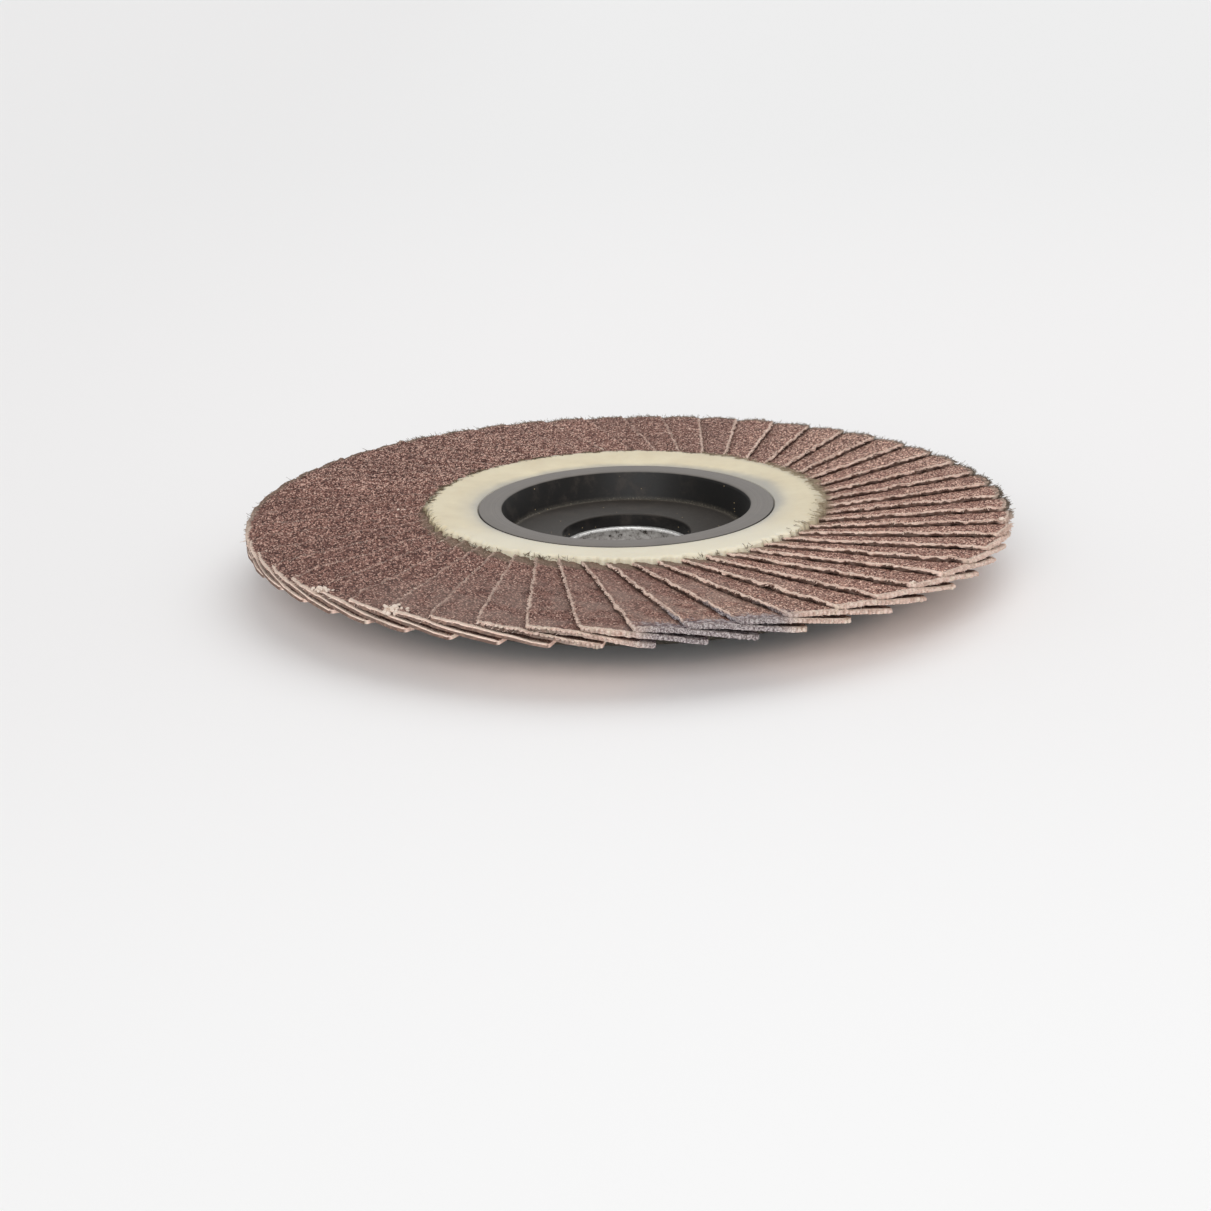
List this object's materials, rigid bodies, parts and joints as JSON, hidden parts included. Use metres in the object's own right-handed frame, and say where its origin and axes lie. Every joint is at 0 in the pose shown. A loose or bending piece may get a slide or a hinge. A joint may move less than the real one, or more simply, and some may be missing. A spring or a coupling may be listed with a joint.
{
  "type": "flap disc",
  "caption": "Abrasive flap disc for an angle grinder: overlapping cloth flaps cast in a resin ring round a recessed plastic hub with a steel-sleeved bore.",
  "frame": {"origin": "centre of the back face, on the disc axis, where the hub rests on a table or on the grinder's flange", "axes": "+Z along the disc axis towards the abrasive side; +X and +Y lie in the back plane, and flap_01 lies along a line 5.68 degrees from +X"},
  "size_m": [0.1, 0.1, 0.009],
  "materials": {
    "hub_plastic": "satin moulded, black",
    "sleeve_steel": "bright pressed steel",
    "cast_resin": "cured cream resin, slightly translucent",
    "abrasive_cloth": "cloth coated with red-brown abrasive grain"
  },
  "bodies": {
    "root": {"backing_plate": "hub_plastic", "bore_sleeve": "sleeve_steel", "resin_ring": "cast_resin", "flap_01": "abrasive_cloth", "flap_02": "abrasive_cloth", "flap_03": "abrasive_cloth", "flap_04": "abrasive_cloth", "flap_05": "abrasive_cloth", "flap_06": "abrasive_cloth", "flap_07": "abrasive_cloth", "flap_08": "abrasive_cloth", "flap_09": "abrasive_cloth", "flap_10": "abrasive_cloth", "flap_11": "abrasive_cloth", "flap_12": "abrasive_cloth", "flap_13": "abrasive_cloth", "flap_14": "abrasive_cloth", "flap_15": "abrasive_cloth", "flap_16": "abrasive_cloth", "flap_17": "abrasive_cloth", "flap_18": "abrasive_cloth", "flap_19": "abrasive_cloth", "flap_20": "abrasive_cloth", "flap_21": "abrasive_cloth", "flap_22": "abrasive_cloth", "flap_23": "abrasive_cloth", "flap_24": "abrasive_cloth", "flap_25": "abrasive_cloth", "flap_26": "abrasive_cloth", "flap_27": "abrasive_cloth", "flap_28": "abrasive_cloth", "flap_29": "abrasive_cloth", "flap_30": "abrasive_cloth", "flap_31": "abrasive_cloth", "flap_32": "abrasive_cloth", "flap_33": "abrasive_cloth", "flap_34": "abrasive_cloth", "flap_35": "abrasive_cloth", "flap_36": "abrasive_cloth", "flap_37": "abrasive_cloth", "flap_38": "abrasive_cloth", "flap_39": "abrasive_cloth", "flap_40": "abrasive_cloth", "flap_41": "abrasive_cloth", "flap_42": "abrasive_cloth", "flap_43": "abrasive_cloth", "flap_44": "abrasive_cloth", "flap_45": "abrasive_cloth", "flap_46": "abrasive_cloth", "flap_47": "abrasive_cloth", "flap_48": "abrasive_cloth", "flap_49": "abrasive_cloth", "flap_50": "abrasive_cloth", "flap_51": "abrasive_cloth", "flap_52": "abrasive_cloth"}
  },
  "joints": []
}
